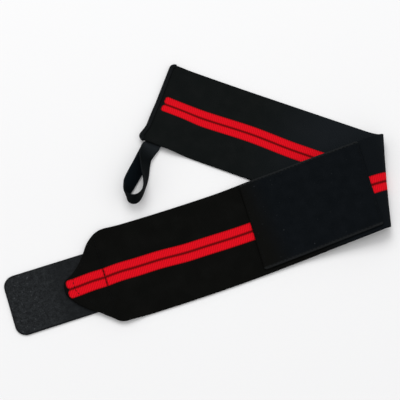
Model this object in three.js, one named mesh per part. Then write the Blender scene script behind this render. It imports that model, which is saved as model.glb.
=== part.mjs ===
// A wrist wrap: a wide elastic band with a thumb loop at one end and a hook tab at the other,
// lying on a flat surface and folded back over itself in a V. Millimetres, +Z up.
//
// Every cloth piece is laid out flat first. A place on the flat cloth is (along, across): along
// runs from the thumb loop's end to the nose, and across is 0 on the middle line of the band.
// foldedPoint carries such a place to where it lies on the folded wrap.
import * as THREE from 'three';

// Elastic band
const bandLength = 487;
const bandWidth = 80;
const bandThickness = 1.8;
const bandCornerRadius = 4.5;
const bandEndSlant = -0.035;
const bandEndBow = 2.4;
const clothGap = 0.3;

// Patch of soft loop pile, sewn on the outer face
const patchLength = 104.5;
const patchWidth = 75.8;
const patchThickness = 1.6;
const patchFromNose = 154.6;
const patchAside = 1.4;
const patchSlant = -0.126;
const patchCornerTrim = 1.5;

// Tab of hook tape, sewn under the nose
const tabWidth = 50.5;
const tabReach = 47;
const tabOverlap = 34;
const tabThickness = 1.5;
const tabCornerRadius = 9;
const tabAside = -1.5;
const tabTurn = -0.032;
const tabEndSlant = 0.03;

// Thumb loop of narrow elastic, both ends sewn under the band's corner
const ribbonWidth = 14;
const ribbonThickness = 1.2;
const loopReach = 53.4;
const loopFromEnd = 14;
const loopSewnLength = 16;
const loopSkewDegrees = -8.3;

// Overlocked thread over the cut end
const threadWidth = 3.4;
const threadThickness = 0.5;

// The V fold
const foldFromEnd = 194.7;
const foldLeadDegrees = 6.4;
const foldHeightNear = 10.2;
const foldHeightFar = 14.5;
const foldRampNear = 98;
const foldRampFar = 145;
const rampSteepness = 1.15;
const landingShare = 0.8;
const landingSoftness = 1.5;
const foldTopShare = 1.8;
const runHeadingDegrees = -18;

// The middle line bends a little in its own plane: a row for each stretch of cloth
const middleLine = [
  { length: 90, turnDegrees: 1.3 },
  { length: 125, turnDegrees: 0 },
  { length: 110, turnDegrees: -3.1 },
  { length: 140, turnDegrees: 4.4 },
];

// Side view of the fold, from the surface up and over: radius is a share of the fold's height
const foldArcs = [
  { turnDegrees: 20, radius: 1.8 },
  { turnDegrees: 120, radius: 0.38 },
  { turnDegrees: 40, radius: 0.9 },
];

// The cloth comes up over what is sewn under it: margin is how far beyond that piece it keeps its
// full height, and run is how long the slope down is
const riseOverTab = { margin: 2, run: 20 };
const riseOverThread = { margin: 1, run: 14 };
const riseOverLoop = { margin: 4, marginAcross: 6, run: 24 };

// How the upper run comes to rest: measured past the fold line, or past the lower run's edge
const settleRun = 40;
const releaseFrom = 60;
const releaseLength = 60;
const releaseRun = 25;

// The rows of points: their spacing along the cloth, and the stretches that it holds for
const rowSpacing = { end: 5, lower: 14, fold: 3, upper: 9, patch: 4, tab: 8 };
const endStretch = 44;
const beforeFoldStretch = 20;
const afterFoldStretch = 90;
const slantFade = 110;

// The nose, as shares of the band's half width: back is measured from the band's full length,
// which the tip passes a little
const noseRows = [
  { back: 1.0, far: 1.0, near: -1.0 },
  { back: 0.9, far: 0.985, near: -1.0 },
  { back: 0.785, far: 0.94, near: -0.96 },
  { back: 0.67, far: 0.855, near: -0.855 },
  { back: 0.57, far: 0.75, near: -0.775 },
  { back: 0.475, far: 0.605, near: -0.69 },
  { back: 0.35, far: 0.43, near: -0.61 },
  { back: 0.225, far: 0.3, near: -0.51 },
  { back: 0.12, far: 0.215, near: -0.41 },
  { back: 0.03, far: 0.165, near: -0.295 },
  { back: -0.03, far: 0.115, near: -0.22 },
  { back: -0.065, far: 0.04, near: -0.13 },
];

// The thumb loop's middle line, from the upper sewn end round to the lower one: out along the
// near side, round, and back along the side under the cut end. reach and aside
// are shares of the loop's reach, rise is a share of the ribbon's width, and lean turns the outer
// face from straight up, 0, through sideways, 90, to straight down, 180.
const loopRows = [
  { reach: 0.09, aside: 0.002, rise: 0.262, lean: 12 },
  { reach: 0.17, aside: 0.012, rise: 0.4, lean: 28 },
  { reach: 0.264, aside: 0.035, rise: 0.51, lean: 43 },
  { reach: 0.4, aside: 0.11, rise: 0.52, lean: 57 },
  { reach: 0.53, aside: 0.19, rise: 0.525, lean: 66 },
  { reach: 0.651, aside: 0.261, rise: 0.543, lean: 80 },
  { reach: 0.76, aside: 0.31, rise: 0.546, lean: 90 },
  { reach: 0.852, aside: 0.333, rise: 0.546, lean: 92 },
  { reach: 0.938, aside: 0.325, rise: 0.546, lean: 87 },
  { reach: 1.0, aside: 0.283, rise: 0.544, lean: 82 },
  { reach: 1.022, aside: 0.208, rise: 0.545, lean: 86 },
  { reach: 0.999, aside: 0.139, rise: 0.543, lean: 97 },
  { reach: 0.941, aside: 0.103, rise: 0.522, lean: 108 },
  { reach: 0.857, aside: 0.081, rise: 0.465, lean: 123 },
  { reach: 0.753, aside: 0.063, rise: 0.43, lean: 131 },
  { reach: 0.63, aside: 0.05, rise: 0.41, lean: 134 },
  { reach: 0.481, aside: 0.038, rise: 0.397, lean: 137 },
  { reach: 0.288, aside: 0.02, rise: 0.336, lean: 146 },
  { reach: 0.17, aside: 0.008, rise: 0.245, lean: 158 },
  { reach: 0.08, aside: 0.002, rise: 0.095, lean: 176 },
];

// Where the rows of a sheet have their points, from one long edge to the other
const acrossShares = [0, 0.012, 0.13, 0.26, 0.38, 0.5, 0.62, 0.74, 0.87, 0.988, 1];

const halfWidth = bandWidth / 2;
const halfBand = bandThickness / 2;
const restHeight = bandThickness + clothGap;
const tabLift = tabThickness + clothGap;
const threadLift = threadThickness + clothGap;
const loopLift = 2 * (ribbonThickness + clothGap);

const radians = (degrees) => THREE.MathUtils.degToRad(degrees);
const mix = (a, b, share) => a + (b - a) * share;
const ease = (share) => THREE.MathUtils.smoothstep(share, 0, 1);

// A plane curve of arcs and straights, rows of { length, turn }. It runs straight on past both ends.
function planeCurve(start, rows) {
  const pieces = [];
  let here = { ...start, from: 0 };
  for (const { length, turn } of rows) {
    const piece = { ...here, bend: turn / length, until: here.from + length };
    pieces.push(piece);
    here = { ...alongPiece(piece, length), from: piece.until };
  }
  pieces.push({ ...here, bend: 0, until: Infinity });
  return (distance) => {
    const piece = pieces.find(({ until }) => distance <= until);
    return alongPiece(piece, distance - piece.from);
  };
}

function alongPiece({ x, y, heading, bend }, distance) {
  if (bend === 0 || distance < 0) {
    return { x: x + Math.cos(heading) * distance, y: y + Math.sin(heading) * distance, heading };
  }
  const turned = heading + bend * distance;
  return {
    x: x + (Math.sin(turned) - Math.sin(heading)) / bend,
    y: y - (Math.cos(turned) - Math.cos(heading)) / bend,
    heading: turned,
  };
}

// The flat cloth in plan, before the fold
const middle = planeCurve(
  { x: 0, y: 0, heading: radians(runHeadingDegrees) },
  middleLine.map(({ length, turnDegrees }) => ({ length, turn: radians(turnDegrees) })),
);

function flatPoint(along, across) {
  const { x, y, heading } = middle(along);
  return new THREE.Vector2(x - Math.sin(heading) * across, y + Math.cos(heading) * across);
}

// Side view of the fold at one end of the fold line: it rises, turns back over itself, and comes
// down a long ramp onto the run below
function foldCurve(height, ramp) {
  const arcs = foldArcs.map(({ turnDegrees, radius }) => ({ turn: radians(turnDegrees), radius }));
  let heading = 0;
  let unitHeight = 0;
  for (const { turn, radius } of arcs) {
    unitHeight += radius * (Math.cos(heading) - Math.cos(heading + turn));
    heading += turn;
  }
  const slope = rampSteepness * Math.atan2(height - restHeight, ramp);
  arcs.at(-1).turn += slope;
  const rows = arcs.map(({ turn, radius }) => ({ turn, length: turn * radius * (height / unitHeight) }));
  const top = planeCurve({ x: 0, y: 0, heading: 0 }, rows);
  const rowsLength = rows.reduce((sum, { length }) => sum + length, 0);
  const landingRadius = landingShare * ramp;
  const landingDrop = landingRadius * (1 - Math.cos(slope));
  const straight = (top(rowsLength).y - restHeight - landingDrop) / Math.sin(slope);
  return planeCurve({ x: 0, y: 0, heading: 0 }, [
    ...rows,
    { turn: 0, length: straight },
    { turn: -slope, length: slope * landingRadius },
  ]);
}

const foldHeightMean = (foldHeightNear + foldHeightFar) / 2;
const nearFold = foldCurve(foldHeightNear, foldRampNear);
const farFold = foldCurve(foldHeightFar, foldRampFar);
const foldSpot = flatPoint(foldFromEnd, 0);
const foldOut = new THREE.Vector2(Math.cos(radians(foldLeadDegrees)), Math.sin(radians(foldLeadDegrees)));
const foldLine = new THREE.Vector2(-foldOut.y, foldOut.x);
const foldLineLength = bandWidth / Math.cos(middle(foldFromEnd).heading - radians(foldLeadDegrees));
const foldMiddle = foldTopShare * foldHeightMean;
// Rows of points near the fold run along it: how far they move along for each step across
const foldSlant = Math.tan(middle(foldFromEnd).heading - radians(foldLeadDegrees));

function rowSlant(along) {
  const into = ease((along - foldFromEnd / 4) / (foldFromEnd / 2));
  const outOf = 1 - ease((along - foldFromEnd - afterFoldStretch) / slantFade);
  return foldSlant * Math.min(into, outOf);
}

// The fold takes up more cloth at its high end, which swings the upper run round a little
const foldSwing = (farFold(bandLength).x - nearFold(bandLength).x) / foldLineLength;

// How far the cloth is lifted by the pieces sewn under it
function liftOver(along, across) {
  const tabStart = bandLength - tabOverlap - riseOverTab.margin;
  const overTab = 1 - ease((tabStart - along) / riseOverTab.run);
  const overThread = 1 - ease((along - threadWidth - riseOverThread.margin) / riseOverThread.run);
  const besideLoop = Math.max(along - loopFromEnd - ribbonWidth / 2 - riseOverLoop.margin, 0);
  const beyondLoop = Math.max(across + halfWidth - loopSewnLength - riseOverLoop.marginAcross, 0);
  const overLoop = 1 - ease(Math.hypot(besideLoop, beyondLoop) / riseOverLoop.run);
  return Math.max(tabLift * overTab, threadLift * overThread, loopLift * overLoop);
}

// The cut end is drawn in between its corners, most of all beside the thumb loop
const bowStart = { across: -39, run: 14 };
const bowFade = { across: 38, run: 62 };

function drawnIn(along, across) {
  const started = ease((across - bowStart.across) / bowStart.run);
  const left = THREE.MathUtils.clamp((bowFade.across - across) / bowFade.run, 0, 1);
  return bandEndBow * started * left * (1 - ease(along / endStretch));
}

// The middle of the cloth's thickness, on the folded wrap
function clothPoint(along, across) {
  const flat = flatPoint(along + drawnIn(along, across), across).sub(foldSpot);
  const past = flat.dot(foldOut);
  const beside = flat.dot(foldLine);
  const share = beside / foldLineLength + 0.5;
  const near = nearFold(past);
  const far = farFold(past);
  const out = mix(near.x, far.x, share);
  const side = beside + foldSwing * Math.max(0, past - foldMiddle);
  // Past the fold's top the cloth comes down softly onto what it lies on, and never below it
  const above = Math.max(mix(near.y, far.y, share) - restHeight, 0);
  const landed = restHeight + (above * above) / (above + landingSoftness);
  const onTop = ease((past - foldMiddle) / settleRun);
  const place = foldSpot.clone().addScaledVector(foldOut, out).addScaledVector(foldLine, side);
  // Beyond the lower run's edge the upper run comes down to the surface
  const edge = flatPoint(foldFromEnd / 2, -halfWidth);
  const heading = middle(foldFromEnd / 2).heading;
  const beyond = (place.x - edge.x) * Math.sin(heading) - (place.y - edge.y) * Math.cos(heading);
  const released = ease(beyond / releaseRun) * THREE.MathUtils.clamp((past - releaseFrom) / releaseLength, 0, 1);
  const height = mix(mix(near.y, far.y, share), landed, onTop) - restHeight * released;
  return new THREE.Vector3(place.x, place.y, height + liftOver(along, across) + halfBand);
}

// A place off the cloth's middle: offset is positive towards the face that lies on the skin
function foldedPoint(along, across, offset) {
  const step = 0.5;
  const lengthwise = clothPoint(along + step, across).sub(clothPoint(along - step, across));
  const crosswise = clothPoint(along, across + step).sub(clothPoint(along, across - step));
  const normal = lengthwise.cross(crosswise).normalize();
  return clothPoint(along, across).addScaledVector(normal, offset);
}

// One closed body from rows of points: each row has an over side and an under side, as many
// points on each, and the first and last rows are closed
function sheetBody(rows) {
  const count = rows[0].over.length;
  const corners = rows.flatMap(({ over, under }) => [...over, ...under]);
  const over = (row, i) => row * 2 * count + i;
  const under = (row, i) => row * 2 * count + count + i;
  const faces = [];
  const quad = (a, b, c, d) => faces.push(a, b, c, a, c, d);
  for (let row = 0; row + 1 < rows.length; row += 1) {
    for (let i = 0; i + 1 < count; i += 1) {
      quad(over(row, i), over(row + 1, i), over(row + 1, i + 1), over(row, i + 1));
      quad(under(row, i), under(row, i + 1), under(row + 1, i + 1), under(row + 1, i));
    }
    quad(over(row, 0), under(row, 0), under(row + 1, 0), over(row + 1, 0));
    const end = count - 1;
    quad(over(row, end), over(row + 1, end), under(row + 1, end), under(row, end));
  }
  const last = rows.length - 1;
  for (let i = 0; i + 1 < count; i += 1) {
    quad(over(0, i), over(0, i + 1), under(0, i + 1), under(0, i));
    quad(over(last, i), under(last, i), under(last, i + 1), over(last, i + 1));
  }
  if (signedVolume(corners, faces) < 0) {
    faces.reverse();
  }
  const geometry = new THREE.BufferGeometry().setFromPoints(corners);
  geometry.setIndex(faces);
  geometry.computeVertexNormals();
  return geometry;
}

function signedVolume(corners, faces) {
  let sum = 0;
  for (let i = 0; i < faces.length; i += 3) {
    const [a, b, c] = [faces[i], faces[i + 1], faces[i + 2]].map((corner) => corners[corner]);
    sum += a.dot(b.clone().cross(c)) / 6;
  }
  return sum;
}

// Equal steps from one value to another, both ends in
function steps(from, to, longest) {
  const count = Math.max(1, Math.ceil((to - from) / longest));
  return Array.from({ length: count + 1 }, (_, i) => mix(from, to, i / count));
}

// The rows of a sheet that lies on the folded cloth between two offsets. outline holds
// { along, near, far, slant }, and the long edges are thinned a little where thinned says
function clothRows(outline, { inner, outer, thinned }) {
  const centre = (inner + outer) / 2;
  const half = (outer - inner) / 2;
  return outline.map(({ along, near, far, slant = 0 }) => {
    const place = (share, side) => {
      const across = mix(near, far, share);
      const atEdge = share === 0 || share === 1;
      const offset = centre + side * half * (atEdge ? thinned : 1);
      return foldedPoint(along + slant * across, across, offset);
    };
    return {
      over: acrossShares.map((share) => place(share, 1)),
      under: acrossShares.map((share) => place(share, -1)),
    };
  });
}

// Quarter turns of a rounded corner: how far in from the end, and how much narrower
function cornerSteps(radius, count) {
  return Array.from({ length: count + 1 }, (_, i) => {
    const angle = (Math.PI / 2) * (i / count);
    return { inFromEnd: radius * (1 - Math.sin(angle)), narrower: radius * (1 - Math.cos(angle)) };
  });
}

function elasticBand() {
  const noseLength = halfWidth;
  const corner = cornerSteps(bandCornerRadius, 4).reverse();
  const rounded = corner.map(({ inFromEnd, narrower }) => ({
    along: inFromEnd,
    near: -(halfWidth - narrower),
    far: halfWidth - narrower,
    slant: bandEndSlant,
  }));
  const beforeFold = foldFromEnd - beforeFoldStretch;
  const afterFold = foldFromEnd + afterFoldStretch;
  const plain = [
    ...steps(bandCornerRadius, endStretch, rowSpacing.end),
    ...steps(endStretch, beforeFold, rowSpacing.lower),
    ...steps(beforeFold, afterFold, rowSpacing.fold),
    ...steps(afterFold, bandLength - noseLength, rowSpacing.upper),
  ];
  const nose = noseRows.map(({ back, far, near }) => ({
    along: bandLength - back * noseLength,
    near: near * halfWidth,
    far: far * halfWidth,
  }));
  const body = [...new Set(plain)]
    .filter((along) => along > bandCornerRadius && along < bandLength - noseLength)
    .map((along) => ({
      along,
      near: -halfWidth,
      far: halfWidth,
      slant: rowSlant(along) + bandEndSlant * (1 - ease(along / endStretch)),
    }));
  return sheetBody(clothRows([...rounded, ...body, ...nose], { inner: -halfBand, outer: halfBand, thinned: 0.5 }));
}

function loopPatch() {
  const end = bandLength - patchFromNose;
  const start = end - patchLength;
  const face = halfBand + clothGap;
  const outline = steps(start, end, rowSpacing.patch).map((along, row, all) => {
    const trim = row === 0 || row === all.length - 1 ? patchCornerTrim : 0;
    return {
      along,
      near: patchAside - patchWidth / 2 + trim,
      far: patchAside + patchWidth / 2 - trim,
      slant: patchSlant,
    };
  });
  return sheetBody(clothRows(outline, { inner: -face - patchThickness, outer: -face, thinned: 0.5 }));
}

function hookTab() {
  const face = halfBand + clothGap;
  const farEnd = bandLength + tabReach;
  const sewnEnd = bandLength - tabOverlap;
  const row = (along, narrower) => {
    const centre = tabAside + tabTurn * (along - bandLength);
    return {
      along,
      near: centre - tabWidth / 2 + narrower,
      far: centre + tabWidth / 2 - narrower,
      slant: tabEndSlant * ease((along - bandLength) / tabReach),
    };
  };
  const body = steps(sewnEnd, farEnd - tabCornerRadius, rowSpacing.tab).map((along) => row(along, 0));
  const corner = cornerSteps(tabCornerRadius, 5)
    .map(({ inFromEnd, narrower }) => row(farEnd - inFromEnd, narrower));
  const outline = [...body.slice(0, -1), ...corner];
  return sheetBody(clothRows(outline, { inner: face, outer: face + tabThickness, thinned: 0.6 }));
}

function thumbLoop() {
  const exit = flatPoint(loopFromEnd, -halfWidth);
  const heading = middle(loopFromEnd).heading - Math.PI / 2 + radians(loopSkewDegrees);
  const reachAxis = new THREE.Vector3(Math.cos(heading), Math.sin(heading), 0);
  const asideAxis = new THREE.Vector3(-reachAxis.y, reachAxis.x, 0);
  const underBand = flatPoint(loopFromEnd, -halfWidth + 1).sub(exit);
  const inwardAxis = new THREE.Vector3(underBand.x, underBand.y, 0);
  const lowerLayer = ribbonThickness / 2;
  const upperLayer = lowerLayer + ribbonThickness + clothGap;
  const atExit = (rise) => new THREE.Vector3(exit.x, exit.y, rise);
  const sewn = (depth, rise, lean) => ({ lean, place: atExit(rise).addScaledVector(inwardAxis, depth) });
  const free = ({ reach, aside, rise, lean }) => ({
    lean,
    place: atExit(rise * ribbonWidth)
      .addScaledVector(reachAxis, reach * loopReach)
      .addScaledVector(asideAxis, aside * loopReach),
  });
  const stations = [
    sewn(loopSewnLength, upperLayer, 0),
    sewn(loopSewnLength / 2, upperLayer, 0),
    sewn(-1, upperLayer, 0),
    ...loopRows.map(free),
    sewn(-1, lowerLayer, 180),
    sewn(loopSewnLength / 2, lowerLayer, 180),
    sewn(loopSewnLength, lowerLayer, 180),
  ];
  const path = new THREE.CatmullRomCurve3(stations.map(({ place }) => place), false, 'catmullrom');
  const leans = new THREE.CatmullRomCurve3(
    stations.map(({ lean }) => new THREE.Vector3(radians(lean), 0, 0)), false, 'catmullrom');
  const rowCount = 3 * (stations.length - 1);
  const rows = Array.from({ length: rowCount + 1 }, (_, i) => {
    const share = i / rowCount;
    const centre = path.getPoint(share);
    const travel = path.getTangent(share);
    const lean = leans.getPoint(share).x;
    const outward = new THREE.Vector3(-travel.y, travel.x, 0).normalize();
    const outerFace = new THREE.Vector3(0, 0, Math.cos(lean)).addScaledVector(outward, Math.sin(lean));
    const widthwise = travel.clone().cross(outerFace).normalize();
    const normal = widthwise.clone().cross(travel).normalize();
    const place = (side, edge) => centre.clone()
      .addScaledVector(widthwise, edge * ribbonWidth / 2)
      .addScaledVector(normal, side * ribbonThickness / 2);
    const edges = [-1, 0, 1];
    return { over: edges.map((edge) => place(1, edge)), under: edges.map((edge) => place(-1, edge)) };
  });
  return sheetBody(rows);
}

function overlockEdge() {
  const inner = halfBand + clothGap;
  const outer = inner + threadThickness;
  const beyond = clothGap + threadThickness;
  const section = {
    over: [[threadWidth, -outer], [-beyond, -outer], [-beyond, outer], [threadWidth, outer]],
    under: [[threadWidth, -inner], [-clothGap, -inner], [-clothGap, inner], [threadWidth, inner]],
  };
  const cornerAngles = steps(0, 90, 22.5);
  const corner = halfWidth - bandCornerRadius;
  const path = [
    ...cornerAngles.map((angle) => ({ across: corner, angle: 90 - angle })),
    ...acrossShares.map((share) => mix(halfWidth, -halfWidth, share))
      .filter((across) => Math.abs(across) < corner - 1)
      .map((across) => ({ across, angle: 0 })),
    ...cornerAngles.map((angle) => ({ across: -corner, angle: -angle })),
  ];
  const rows = path.map(({ across, angle }) => {
    const inAlong = Math.cos(radians(angle));
    const inAcross = -Math.sin(radians(angle));
    const place = ([inward, offset]) => {
      const beside = across + inAcross * (inward - bandCornerRadius);
      const along = bandCornerRadius + inAlong * (inward - bandCornerRadius) + bandEndSlant * beside;
      return foldedPoint(along, beside, offset);
    };
    return { over: section.over.map(place), under: section.under.map(place) };
  });
  return sheetBody(rows);
}

function clothPiece(name, geometry, color, roughness) {
  const material = new THREE.MeshStandardMaterial({ color, roughness, metalness: 0 });
  const piece = new THREE.Mesh(geometry, material);
  piece.name = name;
  return piece;
}

const wristWrap = new THREE.Group();
wristWrap.add(
  clothPiece('elastic_band', elasticBand(), 0x14181a, 0.85),
  clothPiece('loop_patch', loopPatch(), 0x10141c, 0.95),
  clothPiece('hook_tab', hookTab(), 0x24272a, 0.8),
  clothPiece('thumb_loop', thumbLoop(), 0x0f1419, 0.75),
  clothPiece('overlock_edge', overlockEdge(), 0x0d0f10, 0.8),
);

// The origin is under the middle of the wrap, on the surface that it lies on
const extent = new THREE.Box3().setFromObject(wristWrap);
const centre = extent.getCenter(new THREE.Vector3());
wristWrap.position.set(-centre.x, -centre.y, -extent.min.z);

export default wristWrap;
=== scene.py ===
import math

import bpy
import numpy as np
from mathutils import Matrix, Vector


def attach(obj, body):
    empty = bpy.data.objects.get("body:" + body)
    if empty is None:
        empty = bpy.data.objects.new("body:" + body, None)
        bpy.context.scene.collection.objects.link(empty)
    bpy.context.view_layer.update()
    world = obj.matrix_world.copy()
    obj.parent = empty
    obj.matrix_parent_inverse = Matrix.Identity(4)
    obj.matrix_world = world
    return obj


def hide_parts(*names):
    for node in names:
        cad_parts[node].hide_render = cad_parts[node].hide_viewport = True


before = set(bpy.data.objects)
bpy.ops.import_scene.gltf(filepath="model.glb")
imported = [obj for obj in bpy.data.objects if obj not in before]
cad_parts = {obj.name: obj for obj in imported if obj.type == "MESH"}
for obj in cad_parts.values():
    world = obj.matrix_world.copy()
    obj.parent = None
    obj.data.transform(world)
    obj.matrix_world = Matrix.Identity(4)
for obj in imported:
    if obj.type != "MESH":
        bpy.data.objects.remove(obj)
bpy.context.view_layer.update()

print("camera")
view = {
    "aim": (-0.00396, -0.00088, 0.0),  # the spot on the floor in the middle of the picture
    "distance": 0.835,
    "elevation": 65.0,  # degrees above the floor
    "roll": 4.3,
    "lens": 91.1,
    "sensor": 36.0,
}


def aimCamera():
    raised, roll = math.radians(view["elevation"]), math.radians(view["roll"])
    back = Vector((0, -math.cos(raised), math.sin(raised)))
    level, upright = Vector((1, 0, 0)), Vector((0, math.sin(raised), math.cos(raised)))
    right = level * math.cos(roll) + upright * math.sin(roll)
    up = upright * math.cos(roll) - level * math.sin(roll)
    camera = bpy.data.objects.new("camera", bpy.data.cameras.new("camera"))
    camera.data.lens = view["lens"]
    camera.data.sensor_width = view["sensor"]
    turned = Matrix((right, up, back)).transposed().to_4x4()
    camera.matrix_world = Matrix.Translation(Vector(view["aim"]) + back * view["distance"]) @ turned
    bpy.context.scene.collection.objects.link(camera)
    bpy.context.scene.camera = camera


aimCamera()
bpy.ops.object.select_all(action="DESELECT")

metres = 0.001
decimetres = 0.01

# Sizes are in millimetres up to the meshes, which are in metres. Each piece is laid out on the
# flat cloth: along runs from the thumb loop's end to the nose, and across is 0 on the middle
# line. The sizes of pieces that lift the cloth stand here, before the cloth is laid.
band = {
    "length": 487.0,
    "width": 80.0,
    "thickness": 1.8,
    "cornerRadius": 4.5,
    "endSlant": -0.035,
    "endStretch": 44.0,  # the slant and the bow of the cut end fade out over this length
    "bow": 2.4,  # how far the cut end is drawn in between its corners
    "bowFrom": -39.0,  # where across it starts, and over what width
    "bowRise": 14.0,
    "bowUntil": 38.0,
    "bowFade": 62.0,
    "gap": 0.3,  # between cloth and cloth
    "seamFromNose": 30.3,
    "step": 1.5,  # between the mesh's rows
    "foldStep": 0.9,  # the same at the fold
    "columnStep": 1.45,
    "cornerSteps": 9,
    "noseSteps": 5,  # rows for each row of the nose's table
}
fold = {
    "fromEnd": 194.7,
    "lead": 6.4,  # degrees that the fold line leans
    "heightNear": 10.2,
    "heightFar": 14.5,
    "rampNear": 98.0,
    "rampFar": 145.0,
    "heading": -18.0,  # degrees that the lower run points away from +X
    "steepness": 1.15,  # of the ramp, against a straight one
    "landingShare": 0.8,  # of the ramp, for the curve that it lands with
    "softness": 1.5,  # how gently the upper run lands
    "topShare": 1.8,  # the fold's top is this share of its mean height past the fold line
    "settleRun": 40.0,  # from the top to where the cloth lies on what is below
    "releaseFrom": 60.0,  # past the fold line, where it may come down beside the lower run
    "releaseLength": 60.0,
    "releaseRun": 25.0,  # past the lower run's edge
    "slantHold": 90.0,  # the mesh's rows follow the fold line so far past it
    "slantFade": 110.0,
    "fineBefore": 20.0,  # the fine rows start and end so far from the fold line
    "fineAfter": 40.0,
    "arcs": [(20, 1.8), (120, 0.38), (40, 0.9)],  # degrees turned, share of the fold's height
    "middleLine": [(90, 1.3), (125, 0), (110, -3.1), (140, 4.4)],  # length, degrees turned
    "origin": (-48.628, 88.892, 0.090),  # puts the wrap's middle over the frame's origin
}
tab = {
    "width": 50.5,
    "reach": 47.0,
    "overlap": 34.0,
    "thickness": 1.5,
    "cornerRadius": 9.0,
    "cornerSteps": 12,
    "aside": -1.5,
    "turn": -0.032,
    "endSlant": 0.03,
    "step": 1.0,
    "relief": 0.1,
    "bumpSize": 3.2,
    "bumpsFrom": 2.0,  # past the nose, where nothing lies on the tab
    "bumpsRun": 6.0,
    "seed": 21,
}
loop = {
    "width": 14.0,
    "thickness": 1.2,
    "reach": 53.4,
    "fromEnd": 14.0,
    "sewn": 16.0,
    "skew": -8.3,  # degrees
    "perSpan": 12,  # rows for each row of the table
    "step": 1.0,
    "endRim": 0.1,  # keeps the sewn ends from thinning to an edge
    "tackInside": 0.5,
    "tackDepths": [4.0, 5.2, 14.0, 15.2],
    # share of the reach, the same aside, rise as a share of the width, and how many degrees the
    # outer face leans
    "rows": [
        (0.09, 0.002, 0.262, 12), (0.17, 0.012, 0.4, 28), (0.264, 0.035, 0.51, 43),
        (0.4, 0.11, 0.52, 57), (0.53, 0.19, 0.525, 66), (0.651, 0.261, 0.543, 80),
        (0.76, 0.31, 0.546, 90), (0.852, 0.333, 0.546, 92), (0.938, 0.325, 0.546, 87),
        (1.0, 0.283, 0.544, 82), (1.022, 0.208, 0.545, 86), (0.999, 0.139, 0.543, 97),
        (0.941, 0.103, 0.522, 108), (0.857, 0.081, 0.465, 123), (0.753, 0.063, 0.43, 131),
        (0.63, 0.05, 0.41, 134), (0.481, 0.038, 0.397, 137), (0.288, 0.02, 0.336, 146),
        (0.17, 0.008, 0.245, 158), (0.08, 0.002, 0.095, 176),
    ],
}
overlock = {
    "width": 3.4,
    "aroundEdge": 3.3,  # the thread's way round the cut edge, from face to face
    "thickness": 0.5,
    "pitch": 1.15,  # from thread to thread
    "ridge": 0.16,  # how deep the thread dips between two ridges
    "tooth": 0.45,  # how far its inner edge steps in there
    "lean": 1.4,  # pitches that a thread moves along from face to face
    "step": 0.19,
    "cornerStep": 1.8,  # degrees
    "flatPoints": 6,  # of the section, on each face and round the edge
    "bendPoints": 9,
    "mapWidth": 13.0,  # the section's width on the map
}

halfWidth = band["width"] / 2
halfBand = band["thickness"] / 2
restHeight = band["thickness"] + band["gap"]


def ease(share):
    share = np.clip(share, 0, 1)
    return share * share * (3 - 2 * share)


def mix(a, b, share):
    return a + (b - a) * share


almostStraight = 1e-9  # the bend of a straight stretch, so that nothing is divided by zero
edgeThickness = 0.2  # share of the thickness that a rounded edge keeps at its very rim


def arcEnd(x, y, heading, bend, distance):
    straight = (distance < 0) | (np.abs(bend) < almostStraight)
    bend = np.where(straight, almostStraight, bend)
    turned = heading + bend * distance
    return (
        x + (np.sin(turned) - np.sin(heading)) / bend,
        y - (np.cos(turned) - np.cos(heading)) / bend,
        turned,
    )


# A plane curve of arcs, as rows of length and turn, that runs straight on past both ends
def planeCurve(rows, heading=0.0):
    pieces, at, x, y = [], 0.0, 0.0, 0.0
    for length, turn in [*rows, (1.0, 0.0)]:
        pieces.append((at, x, y, heading, turn / length))
        x, y, heading = (float(value) for value in arcEnd(x, y, heading, turn / length, length))
        at += length
    pieces = np.array(pieces)

    def place(distance):
        distance = np.asarray(distance, float)
        which = np.searchsorted(pieces[:, 0], distance, side="right") - 1
        at, x, y, heading, bend = np.moveaxis(pieces[np.maximum(which, 0)], -1, 0)
        return arcEnd(x, y, heading, bend, distance - at)

    return place


# Side view of the fold at one end of its line: up, back over itself, and down a long ramp
def foldSide(height, ramp):
    heading, unitHeight = 0.0, 0.0
    for degrees, radius in fold["arcs"]:
        turn = math.radians(degrees)
        unitHeight += radius * (math.cos(heading) - math.cos(heading + turn))
        heading += turn
    slope = fold["steepness"] * math.atan2(height - restHeight, ramp)
    arcs = [
        (math.radians(degrees), radius * height / unitHeight) for degrees, radius in fold["arcs"]
    ]
    arcs[-1] = (arcs[-1][0] + slope, arcs[-1][1])
    rows = [(turn * radius, turn) for turn, radius in arcs]
    topHeight = float(planeCurve(rows)(sum(length for length, turn in rows))[1])
    landing = fold["landingShare"] * ramp
    straight = (topHeight - restHeight - landing * (1 - math.cos(slope))) / math.sin(slope)
    return planeCurve([*rows, (straight, 0.0), (slope * landing, -slope)])


middle = planeCurve(
    [(length, math.radians(degrees)) for length, degrees in fold["middleLine"]],
    heading=math.radians(fold["heading"]),
)


def flatPlace(along, across):
    x, y, heading = middle(along)
    return x - np.sin(heading) * across, y + np.cos(heading) * across


nearFold = foldSide(fold["heightNear"], fold["rampNear"])
farFold = foldSide(fold["heightFar"], fold["rampFar"])
foldSpot = [float(value) for value in flatPlace(fold["fromEnd"], 0.0)]
foldLead = math.radians(fold["lead"])
foldHeading = float(middle(fold["fromEnd"])[2]) - foldLead
foldLineLength = band["width"] / math.cos(foldHeading)
foldMiddle = fold["topShare"] / 2 * (fold["heightNear"] + fold["heightFar"])
foldSwing = float(farFold(band["length"])[0] - nearFold(band["length"])[0]) / foldLineLength


# The cloth keeps its full height for a margin beyond what is sewn under it, then slopes down
lift = {
    "tabMargin": 2.0,
    "tabRun": 20.0,
    "threadMargin": 1.0,
    "threadRun": 14.0,
    "loopMargin": 4.0,
    "loopMarginAcross": 6.0,
    "loopRun": 24.0,
}


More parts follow.
